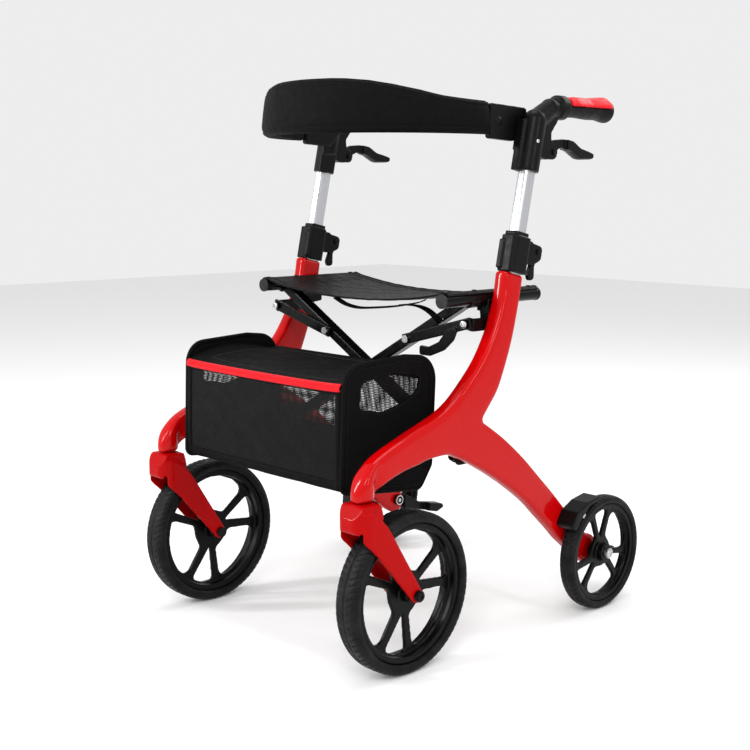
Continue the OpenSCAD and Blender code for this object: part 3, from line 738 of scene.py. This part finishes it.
band, BV = back_band()
setmat(band, "pad_fabric")
parts = []
na, ns = BV.shape[:2]
th = np.radians(np.linspace(-174.5, -5.5, na))
for sign, frac in ((1, "top"), (-1, "bottom")):
    for face in (1, -1):
        line = []
        for i in range(2, na - 2):
            x0 = 222 * math.cos(th[i])
            top, bot = float(pad_top(x0)), 822.0
            ztarget = (top - 7.5) if sign > 0 else (bot + 7.5)
            ks = [k for k in range(ns) if (math.cos(2 * math.pi * k / ns) > 0) == (face > 0) and abs(math.cos(2 * math.pi * k / ns)) > 0.02]
            ks.sort(key=lambda k: BV[i, k, 2])
            zs = [BV[i, k, 2] / MM for k in ks]
            p = np.array([np.interp(ztarget, zs, [BV[i, k, c] for k in ks]) for c in range(3)])
            out = np.array([math.cos(th[i]), math.sin(th[i]), 0.0]) * face
            line.append(p + out * 0.0004)
        parts.append(stitches("s", line, 0.0048, 0.0034, 0.00042))
seam = merged("back_band_stitching", parts)
setmat(seam, "thread")
welts = []
for sign in (1, -1):
    line = []
    for i in range(1, na - 1):
        x0 = 222 * math.cos(th[i])
        zt = float(pad_top(x0)) - 0.6 if sign > 0 else 822.9
        rr = 222 - 2 - 7 * np.clip((zt - 850) / 60, -0.2, 1)
        line.append((rr * math.cos(th[i]) * MM, (225.5 + rr * math.sin(th[i])) * MM, zt * MM))
    welts.append(tube("w", line, 0.0022, 10))
welt = merged("back_band_piping", welts)
setmat(welt, "webbing")
for o in (band, seam, welt):
    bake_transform(o)
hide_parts("backrest_pad_L", "backrest_pad_R")


# ---------------------------------------------------------------- seat sling
def wavy(u, v, k):
    return math.sin(7 * u + 2.1 * k) * math.sin(5 * v + 1.3 * k) + 0.5 * math.sin(13 * u - 9 * v + k)


def sling():
    """Cloth over both rails, sagging between them. Returns the sheet's grid of points."""
    prof = []
    for a in np.linspace(52, 0, 7):
        prof.append((-216 - 12.6 * math.sin(math.radians(a)), 563 + 12.6 * math.cos(math.radians(a))))
    for a in np.linspace(8, 24, 3):
        prof.append((-216 + 12.6 * math.sin(math.radians(a)), 563 + 12.6 * math.cos(math.radians(a))))
    for x in np.linspace(-200, 200, 61):
        prof.append((x, 552.6 + 19.6 * (abs(x) / 204.0) ** 2.1))
    right = [(-x, z) for x, z in prof[:10]][::-1]
    prof = np.array(prof + right)
    ys = np.linspace(110.5, 334.5, 57)
    V = np.zeros((len(prof), len(ys), 3))
    for i, (x, z) in enumerate(prof):
        mid = max(0.0, 1 - (abs(x) / 200) ** 2)
        for j, y in enumerate(ys):
            v = (y - 110.5) / 224
            sag = -3.5 * mid * math.sin(math.pi * v) ** 0.8
            curl = 1.6 * mid * (math.exp(-v * 14) + math.exp(-(1 - v) * 14))
            crease = 0.5 * mid * wavy(x / 60, y / 50, 1) + 0.6 * (1 - mid) * math.exp(-((abs(x) - 165) / 28) ** 2) * math.sin(y * 0.21)
            pull = 2.5 * mid * (1 if j == 0 else -1 if j == len(ys) - 1 else 0)
            V[i, j] = (x * MM, (y + pull * 0) * MM, (z + sag + curl + crease) * MM)
    return V


def grid_obj(name, V, thick=0.0, close=False):
    n, m = V.shape[:2]
    i, j = np.meshgrid(np.arange(n - 1), np.arange(m - 1), indexing="ij")
    F = np.stack([i * m + j, (i + 1) * m + j, (i + 1) * m + j + 1, i * m + j + 1], -1).reshape(-1, 4)
    ob = new_obj(name, V.reshape(-1, 3), F)
    if thick:
        s = ob.modifiers.new("t", "SOLIDIFY")
        s.thickness = thick
        s.offset = 0
        apply_mods(ob)
    return ob


SV = sling()
seat = grid_obj("seat_cloth", SV, 0.0016)
setmat(seat, "seat_fabric")
hem = []
for j, d in ((0, 1), (SV.shape[1] - 1, -1)):
    edge = SV[3:-3, j] + np.array([0, 0.0, 0])
    hem.append(tube("h", edge[:, :] + np.array([0, 0, 0.0]), 0.0021, 10, flat=0.8))
hem = merged("seat_hem", hem)
setmat(hem, "seat_fabric")
st = []
for j in (3, 4, SV.shape[1] - 4, SV.shape[1] - 5):
    st.append(stitches("s", SV[4:-4, j] + np.array([0, 0, 0.0010]), 0.0046, 0.0032, 0.0004))
for i in (12, 14, -13, -15):
    st.append(stitches("s", SV[i, 1:-1] + np.array([0, 0, 0.0010]), 0.0046, 0.0032, 0.0004))
st = merged("seat_stitching", st)
setmat(st, "thread")
for o, sl in ((seat, "seat_fabric"), (hem, "seat_fabric"), (st, "seat_fabric")):
    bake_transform(o)
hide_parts("seat_sling")

# pull strap under the front of the seat
sp = catmull([(104, 549.5), (122, 550.0), (138, 549.6), (150, 545.5), (158, 538.5), (163, 530.5), (166, 523.5)], 5)
SW = np.zeros((len(sp), 9, 3))
for i, (x, z) in enumerate(sp):
    t = i / (len(sp) - 1)
    yc = 134 + 27.5 * max(0.0, t * 1.35 - 0.35) ** 1.3
    k = max(0.0, (t - 0.4) / 0.6)
    for j, w in enumerate(np.linspace(-8, 8, 9)):
        SW[i, j] = ((x + w * 0.75 * k) * MM, (yc + w * (1 - 0.85 * k)) * MM, (z - 0.6 + w * 0.35 * k) * MM)
strap = grid_obj("seat_pull_strap", SW, 0.0014)
place(strap, BODY["seat_strap"], "webbing", None, ["seat_strap"])


# webbing loop that hangs below the front hem
lp = catmull([(-34, 551.5), (-24, 547.5), (-6, 541.5), (24, 538.2), (62, 541.0), (112, 547.0), (160, 556.0), (172, 560.5)], 6)
LW = np.zeros((len(lp), 7, 3))
for i, (x, z) in enumerate(lp):
    for j, w in enumerate(np.linspace(-1, 1, 7)):
        LW[i, j] = (x * MM, (113.5 + 5.5 * w) * MM, (z + 1.2 + 1.0 * w) * MM)
loop = grid_obj("seat_front_loop", LW, 0.0014)
setmat(loop, "webbing")
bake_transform(loop)


# ---------------------------------------------------------------- bag
def fil(pts, n=8):
    """Rounded corners: pts are (y, z, r)."""
    out = []
    L = len(pts)
    for i in range(L):
        p = np.array(pts[i][:2], float); r = pts[i][2]
        a = np.array(pts[(i - 1) % L][:2], float); b = np.array(pts[(i + 1) % L][:2], float)
        u = (a - p) / np.linalg.norm(a - p); v = (b - p) / np.linalg.norm(b - p)
        ph = math.acos(float(np.clip(u @ v, -1, 1)))
        m = (u + v) / np.linalg.norm(u + v)
        c = p + m * r / math.sin(ph / 2)
        s = p + u * r / math.tan(ph / 2) - c; e = p + v * r / math.tan(ph / 2) - c
        a0, a1 = math.atan2(s[1], s[0]), math.atan2(e[1], e[0])
        d = (a1 - a0 + math.pi * 3) % (2 * math.pi) - math.pi
        for k in range(n + 1):
            out.append(c + r * np.array([math.cos(a0 + d * k / n), math.sin(a0 + d * k / n)]))
    return np.array(out)


def bag_piece(ob, mat, body="left_frame"):
    setmat(ob, mat)
    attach(ob, body)
    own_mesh(ob)
    return ob


def perforated(name, inside, to3, u0, u1, v0, v1, pitch, hole):
    """A sheet of netting: one square cell for each hole, kept where inside() holds."""
    verts, faces = [], []
    index = {}

    def vid(key, p):
        if key not in index:
            index[key] = len(verts)
            verts.append(to3(*p))
        return index[key]
    nu, nv = int((u1 - u0) / pitch), int((v1 - v0) / pitch)
    for i in range(nu):
        for j in range(nv):
            cu, cv = u0 + (i + 0.5) * pitch, v0 + (j + 0.5) * pitch
            if not inside(cu, cv):
                continue
            corner, ring = [], []
            for k, (du, dv) in enumerate(((-0.5, -0.5), (0.5, -0.5), (0.5, 0.5), (-0.5, 0.5))):
                corner.append(vid((2 * i + (1 if du > 0 else -1), 2 * j + (1 if dv > 0 else -1)), (cu + du * pitch, cv + dv * pitch)))
            for k in range(8):
                t = math.radians(-157.5 + 45 * k)
                ring.append(vid((i, j, k, "r"), (cu + hole * math.cos(t), cv + hole * math.sin(t))))
            for k in range(4):
                faces.append((corner[k], ring[(2 * k + 1) % 8], ring[2 * k]))
                faces.append((corner[k], corner[(k + 1) % 4], ring[(2 * k + 2) % 8], ring[(2 * k + 1) % 8]))
    return new_obj(name, verts, faces, smooth=False)


side_outline = resample(fil([(-82, 284, 12), (-76, 474, 34), (50, 480, 10), (120, 472, 40), (113, 300, 10), (88, 264, 16)]), 4.0)
window_outline = resample(fil([(-46, 408, 8), (-41, 447, 10), (20, 455, 10), (84, 447, 8), (80, 424, 10), (48, 408, 10), (2, 398, 14)], 6), 3.0)


def in_poly(P):
    def f(u, v):
        n = len(P)
        ins = False
        for i in range(n):
            (x1, y1), (x2, y2) = P[i], P[(i + 1) % n]
            if (y1 > v) != (y2 > v) and u < (x2 - x1) * (v - y1) / (y2 - y1) + x1:
                ins = not ins
        return ins
    return f


def side_panel(name, xc):
    """A stiff padded panel with a netting window: outer ring, window ring, and the cloth between them."""
    verts, faces = [], []
    n = 160

    def even(P):
        Q = np.concatenate([P, P[:1]])
        s = np.concatenate([[0], np.cumsum(np.linalg.norm(np.diff(Q, axis=0), axis=1))])
        c = np.array([20.0, 424.0])
        t = np.linspace(0, s[-1], 2000, endpoint=False)
        D = np.stack([np.interp(t, s, Q[:, 0]), np.interp(t, s, Q[:, 1])], 1)
        ang = np.arctan2(D[:, 1] - c[1], D[:, 0] - c[0])
        want = np.linspace(-math.pi, math.pi, n, endpoint=False)
        o = np.argsort(ang)
        return np.stack([np.interp(want, ang[o], D[o, 0], period=2 * math.pi), np.interp(want, ang[o], D[o, 1], period=2 * math.pi)], 1)
    A, B = even(side_outline), even(window_outline)
    rings = []
    for f, h in ((0.0, 1.6), (0.03, 2.6), (0.10, 2.2), (0.3, 2.0), (0.55, 2.0), (0.8, 2.0), (0.95, 2.1), (1.0, 1.2)):
        rings.append((A * (1 - f) + B * f, h))
    seq = [(P, h) for P, h in rings] + [(P, -h) for P, h in rings[::-1]]
    for P, h in seq:
        for y, z in P:
            b = 0.5 * math.sin(y * 0.05 + 1) * math.sin(z * 0.06) if abs(h) > 1.9 else 0
            verts.append(((xc + h + b) * MM, y * MM, z * MM))
    m = len(seq)
    for r in range(m):
        for i in range(n):
            j = (i + 1) % n
            q = (r + 1) % m
            faces.append((r * n + i, r * n + j, q * n + j, q * n + i))
    ob = new_obj(name, verts, faces)
    fix_normals(ob)
    pipe = tube(name + "_binding", np.stack([np.full(len(side_outline), xc * MM), side_outline[:, 0] * MM, side_outline[:, 1] * MM], 1), 0.0034, 12, closed=True)
    net = perforated(name + "_netting", in_poly(window_outline), lambda u, v: (xc * MM, u * MM, v * MM), -50, 90, 388, 460, 2.6, 0.95)
    lines = []
    for d in (7.0,):
        P = inset(side_outline, d)
        for off in (3.0, -3.0):
            lines.append(stitches("s", np.stack([np.full(len(P), (xc + off) * MM), P[:, 0] * MM, P[:, 1] * MM], 1), 0.0046, 0.0032, 0.0004))
    P = inset(resample(window_outline[::1], 3.0), -3.0)
    for off in (2.4, -2.4):
        lines.append(stitches("s", np.stack([np.full(len(P), (xc + off) * MM), P[:, 0] * MM, P[:, 1] * MM], 1), 0.0046, 0.0032, 0.0004))
    sti = merged(name + "_stitching", lines)
    bag_piece(ob, "bag_fabric")
    bag_piece(pipe, "webbing")
    bag_piece(net, "bag_mesh")
    bag_piece(sti, "thread")
    return ob


sp_far = side_panel("bag_side_far", -197.5)
sp_near = side_panel("bag_side_near", 190.0)

X0, X1 = -194.5, 187.0
wrap = [(-79.2, 438), (-80.5, 400), (-81.5, 360), (-81.8, 320), (-81.5, 292), (-78, 286.5), (-70, 284.6), (-20, 279), (40, 272), (80, 267.6), (88, 270), (98, 282), (109, 296), (112.5, 306), (114, 360), (116, 444)]
wrap = catmull(wrap, 4)


def bag_wall(name, pts, i0, i1, bulge, net=None):
    xs = np.linspace(X0, X1, 70)
    V = np.zeros((len(xs), i1 - i0, 3))
    c = np.array([18.0, 360.0])
    for a, x in enumerate(xs):
        u = (x - X0) / (X1 - X0)
        for b, k in enumerate(range(i0, i1)):
            y, z = pts[k]
            v = b / (i1 - i0 - 1)
            d = np.array([y, z]) - c
            d /= np.linalg.norm(d)
            m = math.sin(math.pi * u) ** 0.6 * math.sin(math.pi * v) ** 0.8
            w = bulge * m + 0.7 * m * wavy(u * 3.1, v * 2.3, 2)
            V[a, b] = (x * MM, (y + d[0] * w) * MM, (z + d[1] * w) * MM)
    return V


TOP_NET, LOW_NET = 434.0, 300.0


def front_panel():
    """Front wall: cloth round its edge and netting inside."""
    def to3(x, z, lift=0.0):
        u = (x - X0) / (X1 - X0)
        v = (438 - z) / (438 - 288)
        y = float(np.interp(z, [288, 320, 360, 400, 438], [-81.3, -81.8, -81.5, -80.5, -79.2]))
        m = math.sin(math.pi * min(max(u, 0), 1)) ** 0.6 * math.sin(math.pi * min(max(v, 0), 1)) ** 0.8
        w = 1.2 * m + 0.6 * m * wavy(u * 3.1, v * 2.3, 2)
        return (x * MM, (y - w - lift) * MM, z * MM)
    net = perforated("bag_front_netting", lambda u, v: True, to3, X0 + 10, X1 - 9, LOW_NET, TOP_NET, 2.7, 0.86)
    bands = []
    for (xa, xb, za, zb) in ((X0, X0 + 12, 288, 438), (X1 - 11, X1, 288, 438), (X0, X1, TOP_NET - 1, 438), (X0, X1, 288, LOW_NET + 1.5)):
        gx = np.linspace(xa, xb, max(2, int(abs(xb - xa) / 6) + 1))
        gz = np.linspace(za, zb, max(2, int(abs(zb - za) / 4) + 1))
        V = np.array([[to3(x, z) for z in gz] for x in gx])
        bands.append(grid_obj("b", V, 0.0014))
    band_ob = merged("bag_front_border", bands)
    zz = [stitches("s", [to3(x, z, 0.9) for x in np.linspace(X0 + 3, X1 - 3, 90)], 0.0046, 0.0032, 0.0004) for z in (LOW_NET - 3.0,)]
    zz += [stitches("s", [to3(x, z, 0.9) for z in np.linspace(290, 436, 40)], 0.0046, 0.0032, 0.0004) for x in (X0 + 8, X1 - 8)]
    sti = merged("bag_front_stitching", zz)
    bag_piece(net, "bag_mesh")
    bag_piece(band_ob, "bag_fabric")
    bag_piece(sti, "thread")
    return to3


to3 = front_panel()
k0 = int(np.argmin(np.abs(wrap[:, 1] - 289) + 1000 * (wrap[:, 0] > 0)))
k1 = int(np.argmin(np.abs(wrap[:, 1] - 312) + 1000 * (wrap[:, 0] < 60)))
WV = bag_wall("bag_floor", wrap, k0, k1 + 1, 0.6)
wall = grid_obj("bag_floor", WV, 0.0016)
bag_piece(wall, "bag_fabric")
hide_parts("bag_body")


def back3(x, z, lift=0.0):
    u, v = (x - X0) / (X1 - X0), (444 - z) / (444 - 306)
    m = math.sin(math.pi * min(max(u, 0), 1)) ** 0.6 * math.sin(math.pi * min(max(v, 0), 1)) ** 0.8
    y = float(np.interp(z, [306, 312, 360, 400, 444], [112.6, 112.9, 114.0, 114.9, 116.0]))
    return (x * MM, (y + 0.8 * m + 0.6 * m * wavy(u * 3.0, v * 2.1, 5) + lift) * MM, z * MM)


net_b = perforated("bag_back_netting", lambda u, v: True, back3, X0 + 10, X1 - 9, 330, 436, 2.7, 0.92)
bb = []
for (xa, xb, za, zb) in ((X0, X0 + 12, 309, 445), (X1 - 11, X1, 309, 445), (X0, X1, 434, 445), (X0, X1, 309, 331.5)):
    gx = np.linspace(xa, xb, max(2, int(abs(xb - xa) / 6) + 1))
    gz = np.linspace(za, zb, max(2, int(abs(zb - za) / 4) + 1))
    bb.append(grid_obj("b", np.array([[back3(x, z) for z in gz] for x in gx]), 0.0014))
bag_piece(net_b, "bag_mesh")
bag_piece(merged("bag_back_border", bb), "bag_fabric")

# flap, a soft lid that dips between the two stiff side panels
nx, ny = 74, 44
FV = np.zeros((nx, ny, 3))
for i, x in enumerate(np.linspace(-193.5, 186.5, nx)):
    u = i / (nx - 1)
    for j, v in enumerate(np.linspace(0, 1, ny)):
        y = -77.5 + 191 * v
        base = 446.0 + 8.5 * v
        lift = 17.0 * math.exp(-u * 9) * math.sin(math.pi * min(1, v * 1.15 + 0.02)) ** 0.7 + 3.5 * math.exp(-(1 - u) * 12)
        dip = -4.2 * math.sin(math.pi * u) ** 0.7 * math.sin(math.pi * v) ** 0.6
        wr = 0.9 * wavy(u * 2.6, v * 2.1, 4) * math.sin(math.pi * u) * math.sin(math.pi * v)
        roll = -4.2 * max(0.0, 1 - v / 0.045) ** 2
        FV[i, j] = (x * MM, y * MM, (base + lift + dip + wr + roll) * MM)
flap = grid_obj("bag_lid_cloth", FV, 0.0020)
bag_piece(flap, "bag_fabric", "bag_lid")
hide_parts("bag_flap")
seams = []
for off, a in ((0.09, 0), (0.03, 1)):
    i0, i1, j0, j1 = int(nx * off), int(nx * (1 - off)) - 1, int(ny * (off + 0.05)), int(ny * (1 - off)) - 1
    loop = [FV[i, j0] for i in range(i0, i1)] + [FV[i1, j] for j in range(j0, j1)] + [FV[i, j1] for i in range(i1, i0, -1)] + [FV[i0, j] for j in range(j1, j0, -1)]
    seams.append(stitches("s", np.array(loop) + np.array([0, 0, 0.0013]), 0.0046, 0.0032, 0.00042))
    if a == 0:
        seams.append(tube("s", np.array(loop) + np.array([0, 0, 0.0008]), 0.0012, 8, closed=True))
sti = merged("bag_lid_stitching", seams)
bag_piece(sti, "thread", "bag_lid")

# zip: red tape and teeth along the front edge of the lid
ZV = np.zeros((90, 7, 3))
for i, x in enumerate(np.linspace(-193.0, 186.0, 90)):
    u = i / 89
    lift = 1.3 * math.exp(-min(u, 1 - u) * 16) - 1.6 * math.sin(math.pi * u) ** 0.7
    for j, (y, z) in enumerate([(-81.6, 436.6), (-82.4, 439.0), (-82.6, 441.2), (-82.1, 443.2), (-81.0, 445.0), (-79.2, 446.8), (-77.0, 448.0)]):
        ZV[i, j] = (x * MM, y * MM, (z + lift) * MM)
tape = grid_obj("bag_zip_tape", ZV, 0.0012)
bag_piece(tape, "zip_red", "bag_lid")
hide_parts("bag_zip")
coil = stitches("bag_zip_teeth", ZV[2:-2, 3] + np.array([0, -0.0008, 0.0004]), 0.0020, 0.0014, 0.0007)
bag_piece(coil, "zip_red", "bag_lid")

# ---------------------------------------------------------------- stage
camera()
bpy.ops.mesh.primitive_plane_add(size=14, location=(0, 0.2, 0))
floor = bpy.context.object
floor.name = "floor"
fm = Mat("floor_pale", (0.86, 0.86, 0.86), 0.9, spec=0.1)
fm.vary_rough(fm.noise(3, 2), 0.03)
floor.data.materials.append(fm.m)
scene.world = bpy.data.worlds.new("studio")
scene.world.use_nodes = True
bg = scene.world.node_tree.nodes["Background"]
bg.inputs[0].default_value = (1, 1, 1, 1)
bg.inputs[1].default_value = 0.85
area("key", (2.0, -2.4, 2.6), (0, 0.2, 0.4), (1.2, 1.2), 55)
area("left_strip", (-1.9, -2.2, 1.5), (0, 0.1, 0.5), (0.22, 1.8), 60)
area("right_strip", (2.9, 0.2, 1.6), (0.2, 0.2, 0.5), (0.22, 1.8), 22)
area("rim", (0.4, 3.0, 2.4), (0, 0.2, 0.5), (2.2, 0.8), 25)
area("top", (0, 0.2, 3.2), (0, 0.2, 0), (1.4, 1.4), 26)
scene.view_settings.view_transform = "Standard"
